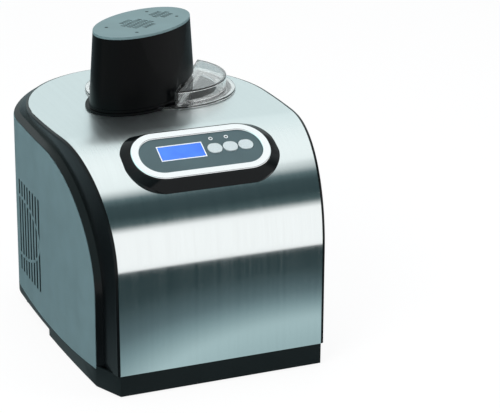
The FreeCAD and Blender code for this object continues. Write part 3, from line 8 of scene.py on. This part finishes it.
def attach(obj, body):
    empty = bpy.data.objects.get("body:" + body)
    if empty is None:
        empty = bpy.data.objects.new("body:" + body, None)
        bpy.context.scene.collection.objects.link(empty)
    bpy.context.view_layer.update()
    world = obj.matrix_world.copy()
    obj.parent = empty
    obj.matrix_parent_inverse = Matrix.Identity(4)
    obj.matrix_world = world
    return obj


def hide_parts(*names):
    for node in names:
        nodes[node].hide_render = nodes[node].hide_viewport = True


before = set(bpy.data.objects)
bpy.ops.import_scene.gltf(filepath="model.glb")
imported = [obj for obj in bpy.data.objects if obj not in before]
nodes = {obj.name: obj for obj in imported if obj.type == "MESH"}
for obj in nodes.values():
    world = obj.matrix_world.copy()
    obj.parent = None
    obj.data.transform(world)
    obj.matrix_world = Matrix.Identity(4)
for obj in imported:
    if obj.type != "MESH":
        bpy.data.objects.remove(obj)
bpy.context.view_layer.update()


# Base tray: one black moulding that closes the machine from below.
# Its front part hangs lower as a plinth, and the steel and the panels stand on its edge.
class Value:
    """One socket of a material; arithmetic on it adds Math nodes."""

    def __init__(self, tree, socket):
        self.tree = tree
        self.socket = socket

    def node(self, kind, settings, inputs, output=0):
        """A new node with its settings, and with a value or a link for each socket named."""
        made = self.tree.nodes.new(f"ShaderNode{kind}")
        stops = settings.pop("stops", ())
        for name, value in settings.items():
            setattr(made, name, value)
        for index, (position, colour) in enumerate(stops):
            elements = made.color_ramp.elements
            stop = elements[index] if index < 2 else elements.new(position)
            stop.position = position
            stop.color = (*colour, 1)
        for key, value in inputs.items():
            if isinstance(value, Value):
                self.tree.links.new(value.socket, made.inputs[key])
            else:
                made.inputs[key].default_value = value
        return Value(self.tree, made.outputs[output])

    def math(self, operation, left, right, span=0):
        return self.node("Math", {"operation": operation}, {0: left, 1: right, 2: span})

    def __add__(self, other):
        return self.math("ADD", self, other)

    def __sub__(self, other):
        return self.math("SUBTRACT", self, other)

    def __rsub__(self, other):
        return self.math("SUBTRACT", other, self)

    def __mul__(self, other):
        return self.math("MULTIPLY", self, other)

    __radd__ = __add__
    __rmul__ = __mul__

    def noise(self, scale, stretch=(1, 1, 1), detail=2):
        place = self.node("Mapping", {}, {"Vector": self, "Scale": stretch})
        return self.node("TexNoise", {}, {"Vector": place, "Scale": scale, "Detail": detail})

    def tint(self, low, high):
        """A colour between two others, each a plain colour or a value."""
        ends = [end if isinstance(end, Value) else (*end, 1) for end in (low, high)]
        return self.node("Mix", {"data_type": "RGBA"}, {0: self, 6: ends[0], 7: ends[1]}, output=2)

    def bump(self, depth, strength=1):
        return self.node("Bump", {}, {"Height": self, "Distance": depth, "Strength": strength})


def surface(name):
    """A new material and the Object coordinates in it."""
    made = bpy.data.materials.new(name)
    made.use_nodes = True
    coordinates = made.node_tree.nodes.new("ShaderNodeTexCoord")
    return made, Value(made.node_tree, coordinates.outputs["Object"])


def coat(made, **inputs):
    """Set sockets of a material's shader, by their names with _ for spaces."""
    shader = made.node_tree.nodes["Principled BSDF"]
    for name, value in inputs.items():
        socket = shader.inputs[name.replace("_", " ")]
        if isinstance(value, Value):
            made.node_tree.links.new(value.socket, socket)
        else:
            socket.default_value = value
    return made


def scaled(parts, share):
    """A colour or a direction with all its parts multiplied."""
    return [share * part for part in parts]


def moulded(name, colour, roughness, grain=0.00002, shine=0.5, shaded_slots=None):
    """Moulded plastic: slightly cloudy, with a fine spark-eroded grain, and painted shade, near black,
    on the walls of its slots.
    """
    made, place = surface(name)
    cloud = place.noise(scale=35)
    speck = place.noise(scale=1400)
    paint = cloud.tint(scaled(colour, 0.85), scaled(colour, 1.15))
    # Painted shade: the slots' walls get a near black that stands for the shade inside them.
    if shaded_slots:
        paint = shaded_slots(place).tint(paint, slot_shade)
    return coat(
        made,
        Base_Color=paint,
        Roughness=roughness + 0.1 * (speck - 0.5) + 0.06 * (cloud - 0.5),
        Specular_IOR_Level=shine,
        Normal=speck.bump(grain),
    )


def settle(mesh, name, body, finish):
    """Make a bmesh a piece of the object, smooth but for its sharp edges."""
    sharp = math.radians(40)
    data = bpy.data.meshes.new(name)
    mesh.to_mesh(data)
    mesh.free()
    data.shade_smooth()
    data.set_sharp_from_angle(angle=sharp)
    data.materials.append(finish)
    piece = bpy.data.objects.new(name, data)
    bpy.context.scene.collection.objects.link(piece)
    weighted = piece.modifiers.new("even_faces", "WEIGHTED_NORMAL")
    weighted.keep_sharp = True
    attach(piece, body)
    return piece


def softened(node, body, finish, edge, segments=3, angle=30):
    """Replace a solid by a copy whose edges are rounded as its making leaves them."""
    weld, flat, limit = 1e-6, math.radians(0.5), math.radians(angle)
    mesh = bmesh.new()
    mesh.from_mesh(nodes[node].data)
    bmesh.ops.remove_doubles(mesh, verts=mesh.verts, dist=weld)
    bmesh.ops.dissolve_limit(mesh, angle_limit=flat, verts=mesh.verts, edges=mesh.edges)
    keen = [rim for rim in mesh.edges if rim.is_manifold and rim.calc_face_angle() > limit]
    bmesh.ops.bevel(
        mesh, geom=keen, offset=edge, offset_type="OFFSET", affect="EDGES", segments=segments,
        profile=0.5, material=-1, clamp_overlap=True,
    )
    piece = settle(mesh, f"soft_{node}", body, finish)
    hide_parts(node)


black_base = moulded("black_base", (0.005, 0.008, 0.0085), roughness=0.4, shine=0.15)
softened("base_tray", "housing", black_base, edge=0.0008)

# Rubber feet: round pads of matte black rubber, pressed into the tray from below.
# Only the rear ones show, behind the plinth.
foot_rubber = moulded("foot_rubber", (0.014, 0.014, 0.014), roughness=0.75, grain=0.00005)
softened("rubber_feet", "housing", foot_rubber, edge=0.0012)


# Cooling circuit: an enamelled compressor bolted down on rubber, with copper lines and a condenser.
# It stands on the tray beside its fan and the power board, and shows only through the vents.
def dress(node, finish):
    """Give a solid its finish."""
    nodes[node].data.materials.clear()
    nodes[node].data.materials.append(finish)


def along(place, axis):
    """One coordinate of a place."""
    return place.node("SeparateXYZ", {}, {0: place}, output=axis)


def ramped(value, start, end):
    """0 where a value is at start, 1 where it is at end, and straight between."""
    return value.node("MapRange", {}, {"Value": value, "From Min": start, "From Max": end})


def brushed(name, colour, roughness, streak):
    """Brushed metal: streaks side by side along one direction, duller near the machine's top."""
    made, place = surface(name)
    fine = place.noise(1, scaled(streak, 4200), detail=3)
    broad = place.noise(1, scaled(streak, 260))
    mottle = place.noise(scale=9)
    lines = 0.6 * fine + 0.4 * broad
    level = ramped(along(place, "Z"), 0.235, 0.2605)
    return coat(
        made,
        Base_Color=lines.tint(scaled(colour, 0.84), colour),
        Roughness=roughness + 0.2 * level + 0.2 * (lines - 0.5) + 0.05 * (mottle - 0.5),
        Metallic=1.0,
        Normal=fine.bump(0.00001, strength=0.3),
    )


def polished(name, colour, roughness):
    """Polished metal with a faint haze."""
    made, place = surface(name)
    haze = place.noise(scale=60)
    return coat(
        made,
        Base_Color=haze.tint(scaled(colour, 0.96), colour),
        Roughness=roughness + 0.05 * haze,
        Metallic=1.0,
    )


compressor_black = moulded("compressor_black", (0.006, 0.006, 0.007), roughness=0.35, shine=0.2)
dress("compressor", compressor_black)
dress("compressor_grommets", foot_rubber)
motor_steel = brushed("motor_steel", (0.55, 0.56, 0.57), roughness=0.36, streak=(1, 1, 0.02))
for node in ("compressor_bolts", "fan_motor"):
    dress(node, motor_steel)
inner_black = moulded("inner_black", (0.006, 0.006, 0.007), roughness=0.6, shine=0.1)
for node in ("terminal_cover", "fan_shroud", "fan"):
    dress(node, inner_black)
copper = polished("copper", (0.72, 0.36, 0.22), roughness=0.25)
for node in ("discharge_pipe", "suction_pipe", "drier_filter", "capillary_tube"):
    dress(node, copper)
bare_aluminium = brushed("liner_aluminium", (0.74, 0.75, 0.76), roughness=0.34, streak=(0.02, 0.02, 1))
dress("condenser", bare_aluminium)
board_green = moulded("board_green", (0.02, 0.14, 0.05), roughness=0.4)
dress("power_board", board_green)

# Well: an aluminium liner in its evaporator, on a black stand, with foam round both.
# A black collar joins it to the steel, and liner and collar show when the bowl is out.
for node in ("cooling_well", "evaporator_sleeve"):
    dress(node, bare_aluminium)
dress("well_stand", inner_black)
foam = moulded("insulation_foam", (0.02, 0.021, 0.022), roughness=0.85, grain=0.0006)
dress("insulation_foam", foam)
collar_black = moulded("collar_black", (0.010, 0.011, 0.012), roughness=0.3)
softened("well_collar", "housing", collar_black, edge=0.0006)

# Side and rear panels: grey-green mouldings clipped to the tray, with vents on both sides.
# The paint is satin, with a faint pearl that shows as soft clouds, and the slots' walls are painted
# near black as shade.
panel_edge = 0.0004
half_width = 0.14
widest_at = 0.006
bow_radius = 2.5465
vents_middle = (0, 0.0699, 0.102)
vents_reach = (1, 0.046, 0.06)
# Painted shade: the near black painted on slot walls where shade falls.
slot_shade = (0.002, 0.0025, 0.003)


def inside_box(place, middle, reach):
    """1 where a place lies in a box, and 0 elsewhere."""
    found = 1
    for axis, centre, half in zip("XYZ", middle, reach):
        found = found * place.math("COMPARE", along(place, axis), centre, half)
    return found


def side_vent_shade(place):
    """1 below the bowed face of a side panel, in the field of its slots, where their walls get painted
    shade.
    """
    across = place.math("ABSOLUTE", along(place, "X"), 0)
    from_widest = along(place, "Y") - widest_at
    below = half_width - from_widest * from_widest * (0.5 / bow_radius) - across
    walls = place.math("GREATER_THAN", below, panel_edge)
    return walls * inside_box(place, vents_middle, vents_reach)


side_grey = moulded("side_grey", (0.122, 0.192, 0.206), roughness=0.5, shine=0.1, shaded_slots=side_vent_shade)
for node in ("left_side_panel", "right_side_panel", "rear_panel"):
    softened(node, "housing", side_grey, panel_edge, segments=2)

# Cord gland: a soft rubber bush, pressed into the rear panel.
# The mains lead would leave the machine through its bore.
gland_rubber = moulded("gland_rubber", (0.012, 0.012, 0.012), roughness=0.7, grain=0.00005)
softened("cord_gland", "housing", gland_rubber, edge=0.0006)

# Trims: black gloss mouldings that cover the joint between steel and panels.
# Each has a bead beside the steel, a recessed face and a lip beside the panel.
trim_black = moulded("trim_black", (0.003, 0.004, 0.0045), roughness=0.22, grain=0.000008, shine=0.16)
for node in ("left_trim", "right_trim"):
    softened(node, "housing", trim_black, edge=0.0006, angle=12)

# Front and top: one stainless sheet, bent over the shoulder and held by the trims.
# It is brushed up the front and on to the rear, in fine streaks side by side across its width.
steel = brushed("brushed_steel", (0.92, 0.97, 0.97), roughness=0.12, streak=(1, 0.01, 0.01))
softened("front_top_panel", "housing", steel, edge=0.0003, segments=2, angle=50)

# Control pod: a black gloss housing on the shoulder with a chrome ring round the fascia.
# Display, buttons and lamps sit in the fascia; their board is hidden below it.
pod_middle = Vector((0, -0.12618, 0.24898))
pod_tilt = math.radians(28.7)
pod_place = Matrix.Translation(pod_middle) @ Matrix.Rotation(pod_tilt, 4, "X")
pod_black = moulded("pod_black", (0.003, 0.004, 0.0045), roughness=0.12, grain=0.000004, shine=0.16)
softened("pod_bezel", "housing", pod_black, edge=0.0012, angle=25)
chrome = polished("chrome", (0.96, 0.97, 0.98), roughness=0.05)
softened("chrome_ring", "housing", chrome, edge=0.0014, segments=4)
fascia_grey = moulded("fascia_grey", (0.052, 0.09, 0.10), roughness=0.42, shine=0.4)
softened("fascia", "housing", fascia_grey, edge=0.0003, segments=2)
dress("control_board", board_green)

# Display: a blue backlit panel behind a window in the fascia.
# A thin white frame stands round the window.
screen_size = Vector((0.0532, 0.0221, 1))
screen_middle = Vector((-0.0222, 0.0028, -0.0001))
frame_width = 0.0014
frame_height = 0.00045
screen_blue, place = surface("screen_blue")
glow = place.noise(scale=45)
coat(
    screen_blue,
    Base_Color=glow.tint((0.016, 0.09, 0.48), (0.04, 0.17, 0.70)),
    Emission_Color=glow.tint((0.02, 0.11, 0.5), (0.05, 0.2, 0.72)),
    Emission_Strength=0.35,
    Roughness=0.22 + 0.06 * glow,
)
dress("lcd_display", screen_blue)
lamp_white = moulded("lamp_white", (0.78, 0.82, 0.83), roughness=0.3)
border = bmesh.new()
bmesh.ops.create_grid(border, x_segments=1, y_segments=1, size=0.5)
bmesh.ops.scale(border, vec=screen_size, verts=border.verts)
bmesh.ops.inset_region(border, faces=border.faces, thickness=frame_width, use_boundary=True)
window = min(border.faces, key=lambda face: face.calc_center_median().length)
bmesh.ops.delete(border, geom=[window], context="FACES")
walls = bmesh.ops.extrude_face_region(border, geom=border.faces[:])
raised = [part for part in walls["geom"] if isinstance(part, bmesh.types.BMVert)]
bmesh.ops.translate(border, vec=(0, 0, frame_height), verts=raised)
bmesh.ops.recalc_face_normals(border, faces=border.faces)
bmesh.ops.transform(border, matrix=pod_place @ Matrix.Translation(screen_middle), verts=border.verts)
settle(border, "screen_frame", "housing", lamp_white)

# Buttons: three oval rubber keys with a fine pebbled face.
# Each stands through the fascia on its own switch.
button_grey, place = surface("button_grey")
pebble = place.noise(scale=900, detail=3)
coat(
    button_grey,
    Base_Color=pebble.tint((0.36, 0.42, 0.43), (0.58, 0.65, 0.66)),
    Roughness=0.5 + 0.2 * (pebble - 0.5),
    Normal=pebble.bump(0.00012),
)
for side in ("left", "middle", "right"):
    softened(f"{side}_button", f"{side}_button", button_grey, edge=0.0005)

# Lamps: two light guides above the buttons, dark while they are off.
# Each has a raised white ring round it on the fascia.
ring_radius = 0.0019
ring_wire = 0.0005
lamp_row = 0.017
lamp_dark = moulded("lamp_dark", (0.05, 0.06, 0.06), roughness=0.2)
dress("lamp_lenses", lamp_dark)
for side, across in (("left", 0.0168), ("right", 0.0352)):
    ring = bmesh.new()
    wire = bmesh.ops.create_circle(ring, cap_ends=False, segments=10, radius=ring_wire)
    upright = Matrix.Translation((ring_radius, 0, 0)) @ Matrix.Rotation(math.pi / 2, 4, "X")
    bmesh.ops.transform(ring, matrix=upright, verts=wire["verts"])
    bmesh.ops.spin(
        ring, geom=ring.verts[:] + ring.edges[:], cent=(0, 0, 0), axis=(0, 0, 1),
        angle=2 * math.pi, steps=32, use_merge=True,
    )
    bmesh.ops.recalc_face_normals(ring, faces=ring.faces)
    seat = pod_place @ Matrix.Translation((across, lamp_row, 0))
    bmesh.ops.transform(ring, matrix=seat, verts=ring.verts)
    settle(ring, f"{side}_lamp_ring", "housing", lamp_white)

# Bowl: deep-drawn aluminium with a dark coating, which stands in the well.
# Two steel ears are riveted to its rim and carry the wire bail.
bowl_dark = moulded("bowl_coating", (0.035, 0.036, 0.038), roughness=0.38)
coat(bowl_dark, Metallic=0.6)
softened("bowl", "bowl", bowl_dark, edge=0.0004, segments=2)
wire_steel = brushed("wire_steel", (0.62, 0.63, 0.64), roughness=0.3, streak=(1, 1, 1))
softened("bowl_ears", "bowl", wire_steel, edge=0.0004, segments=2)
dress("bail", wire_steel)

# Paddle: a milky white moulding with one open blade.
# It stands on the bowl's stud, and the shaft turns it from above.
paddle_white = moulded("paddle_white", (0.72, 0.76, 0.77), roughness=0.35)
softened("paddle", "paddle", paddle_white, edge=0.0008)

# Lid and filler cover: clear mouldings, polished, with slightly rounded edges.
# The cover slides off the opening that ingredients go in through.
clear_tone = (0.98, 1.0, 1.0)
clear_plastic, place = surface("clear_plastic")
haze = place.noise(scale=30)
coat(
    clear_plastic,
    Base_Color=haze.tint(scaled(clear_tone, 0.98), clear_tone),
    Roughness=0.01 + 0.02 * haze,
    IOR=1.49,
    Transmission_Weight=1.0,
)
softened("clear_lid", "lid_unit", clear_plastic, edge=0.0007)
softened("filler_cover", "filler_cover", clear_plastic, edge=0.0007)

# Drive: a motor on its gear plate, three white gears, the shaft in its brass bush and the contacts.
# All of this is closed in by the motor unit; the shaft's end and the pins show from below.
for node in ("drive_motor", "gear_plate", "idler_pin", "drive_shaft"):
    dress(node, motor_steel)
gear_white = moulded("gear_white", (0.74, 0.73, 0.68), roughness=0.4)
for node in ("motor_pinion", "idler_gear", "output_gear"):
    dress(node, gear_white)
brass = polished("brass", (0.78, 0.58, 0.26), roughness=0.22)
for node in ("contact_pins", "shaft_bush"):
    dress(node, brass)
dress("motor_socket", inner_black)

# Motor unit: a black satin housing on a flat base, closed by a grey cap with vent slots.
# Four small dark screws hold the cap.
shaft_place = (0.03, 0.0785, 0)
unit_turn = (0, 0, math.radians(37.2))
cap_vents_middle = (-0.026, 0, 0.3495)
cap_vents_reach = (0.046, 0.0215, 0.0016)


def cap_vent_shade(place):
    """1 below the cap's flat top, in the fields of its slots, where their walls get painted shade."""
    turn = {"Vector": place, "Location": shaft_place, "Rotation": unit_turn}
    from_shaft = place.node("Mapping", {"vector_type": "TEXTURE"}, turn)
    return inside_box(from_shaft, cap_vents_middle, cap_vents_reach)


tower_black = moulded("tower_black", (0.001, 0.0013, 0.0015), roughness=0.32, shine=0.07)
softened("motor_housing", "lid_unit", tower_black, edge=0.0008, angle=25)
softened("motor_base", "lid_unit", tower_black, edge=0.0006, angle=35)
# Painted shade: the walls of the cap's vent slots are painted near black where shade falls.
cap_grey = moulded("cap_grey", (0.124, 0.196, 0.206), roughness=0.42, shaded_slots=cap_vent_shade)
softened("motor_cap", "lid_unit", cap_grey, edge=0.0003, segments=2, angle=35)
screw_dark = moulded("screw_dark", (0.002, 0.0025, 0.003), roughness=0.5, shine=0.1)
dress("cap_screws", screw_dark)


# Floor: a pale studio table that runs out of the picture and takes the object's shadow.
# Polished metal sees it fall off into shade some way from the object and behind it.
def stepped(value, stops):
    """A colour that follows a value, from stops of position and colour."""
    return value.node("ValToRGB", {"stops": stops}, {0: value})


def ray(place, kind):
    """1 for rays of a kind, and 0 for others."""
    return place.node("LightPath", {}, {}, output=f"Is {kind} Ray")


def blend(share, first, second):
    """A shader between two others."""
    return share.node("MixShader", {}, {0: share, 1: first, 2: second})


floor_half = 6
shade_middle = (0.17, 0, 0)
shade_stops = (
    (0.26, (0.34, 0.46, 0.48)),
    (0.33, (0.41, 0.54, 0.56)),
    (0.383, (0.20, 0.29, 0.31)),
    (0.42, (0.10, 0.15, 0.165)),
    (0.50, (0.028, 0.048, 0.052)),
    (0.72, (0.022, 0.04, 0.044)),
    (0.76, (1, 1, 1)),
)
shade_behind = (0.2, 0.27, 0.29)
white_share = 0.9
mirrored_strength = 1.03
table, place = surface("pale_table")
coat(table, Base_Color=(0.9, 0.9, 0.9, 1), Roughness=0.9, Specular_IOR_Level=0.0)
to_middle = {0: place, 1: shade_middle}
distance = place.node("VectorMath", {"operation": "DISTANCE"}, to_middle, output="Value")
behind = ramped(along(place, "Y"), 0.25, 0.45)
shade = behind.tint(stepped(distance, shade_stops), shade_behind)
tree = table.node_tree
matt = Value(tree, tree.nodes["Principled BSDF"].outputs[0])
white = place.node("Emission", {}, {"Color": (1, 1, 1, 1)})
mirrored = place.node("Emission", {}, {"Color": shade, "Strength": mirrored_strength})
seen = place.math("MAXIMUM", ray(place, "Camera"), ray(place, "Transmission"))
shown = blend(ray(place, "Glossy"), blend(white_share * seen, matt, white), mirrored)
tree.links.new(shown.socket, tree.nodes["Material Output"].inputs["Surface"])
sheet = bmesh.new()
bmesh.ops.create_grid(sheet, x_segments=1, y_segments=1, size=floor_half)
data = bpy.data.meshes.new("floor")
sheet.to_mesh(data)
sheet.free()
data.materials.append(table)
floor = bpy.data.objects.new("floor", data)
bpy.context.scene.collection.objects.link(floor)

# Studio: a white room, lit by three soft lamps that polished metal doesn't show.
# In front, metal sees a dark upper ring and a light ceiling, and behind and on the left pale walls.
front_stops = (
    (0.0, (1, 1, 1)),
    (0.40, (1, 1, 1)),
    (0.50, (0.06, 0.10, 0.105)),
    (0.62, (0.032, 0.055, 0.06)),
    (0.76, (0.04, 0.066, 0.072)),
    (0.82, (0.09, 0.14, 0.15)),
    (0.90, (0.92, 0.97, 0.97)),
)
rear_stops = (
    (0.12, (0.40, 0.51, 0.52)),
    (0.32, (0.78, 0.88, 0.89)),
    (0.60, (0.78, 0.88, 0.89)),
    (0.92, (0.95, 1, 1)),
)
left_wall = (0.7, 1, 1)
world = bpy.data.worlds.new("studio")
bpy.context.scene.world = world
world.use_nodes = True
sky = world.node_tree
place = Value(sky, sky.nodes.new("ShaderNodeTexCoord").outputs["Generated"])
height = along(place, "Z")
in_front = ramped(along(place, "Y"), 0.1, -0.2)
on_left = ramped(along(place, "X"), -0.1, -0.5)
room = on_left.tint(in_front.tint(stepped(height, rear_stops), stepped(height, front_stops)), left_wall)
plain = place.node("Background", {}, {"Color": (0.9, 0.95, 1.0, 1), "Strength": 0.55})
bright = place.node("Background", {}, {"Color": (1, 1, 1, 1), "Strength": 1.0})
mirrored = place.node("Background", {}, {"Color": room, "Strength": mirrored_strength})
seen = place.math("MAXIMUM", ray(place, "Camera"), ray(place, "Transmission"))
shown = blend(seen, blend(ray(place, "Glossy"), plain, mirrored), bright)
sky.links.new(shown.socket, sky.nodes["World Output"].inputs["Surface"])
for name, spot, aim, width, power in (
    ("key", (-1.6, -1.2, 2.0), (0, 0, 0.15), 1.2, 38),
    ("fill", (1.9, -1.4, 1.3), (0, 0, 0.15), 1.4, 18),
    ("top", (0.2, 0.6, 2.4), (0, 0, 0.2), 1.6, 24),
):
    lamp = bpy.data.lights.new(name, "AREA")
    lamp.size = width
    lamp.energy = power
    holder = bpy.data.objects.new(name, lamp)
    holder.location = spot
    holder.rotation_euler = (Vector(aim) - Vector(spot)).to_track_quat("-Z", "Y").to_euler()
    holder.visible_glossy = False
    bpy.context.scene.collection.objects.link(holder)

# Camera: a long lens from the front left, a little above the machine.
# Its place and turns are those that the photograph's straight edges give.
eye_place = Vector((-0.7643, -2.0215, 0.9220))
azimuth, elevation, roll = (math.radians(turn) for turn in (-23.47, 19.83, 0.54))
back = Vector((
    math.sin(azimuth) * math.cos(elevation),
    -math.cos(azimuth) * math.cos(elevation),
    math.sin(elevation),
))
right = Vector((math.cos(azimuth), math.sin(azimuth), 0))
up = back.cross(right)
turned = Matrix((right, up, back)).transposed() @ Matrix.Rotation(roll, 3, "Z")
view = bpy.data.cameras.new("view")
view.sensor_fit = "HORIZONTAL"
view.sensor_width = 36
view.lens = 141.55
eye = bpy.data.objects.new("view", view)
eye.matrix_world = Matrix.Translation(eye_place) @ turned.to_4x4()
bpy.context.scene.collection.objects.link(eye)
bpy.context.scene.camera = eye
bpy.context.scene.view_settings.view_transform = "Standard"
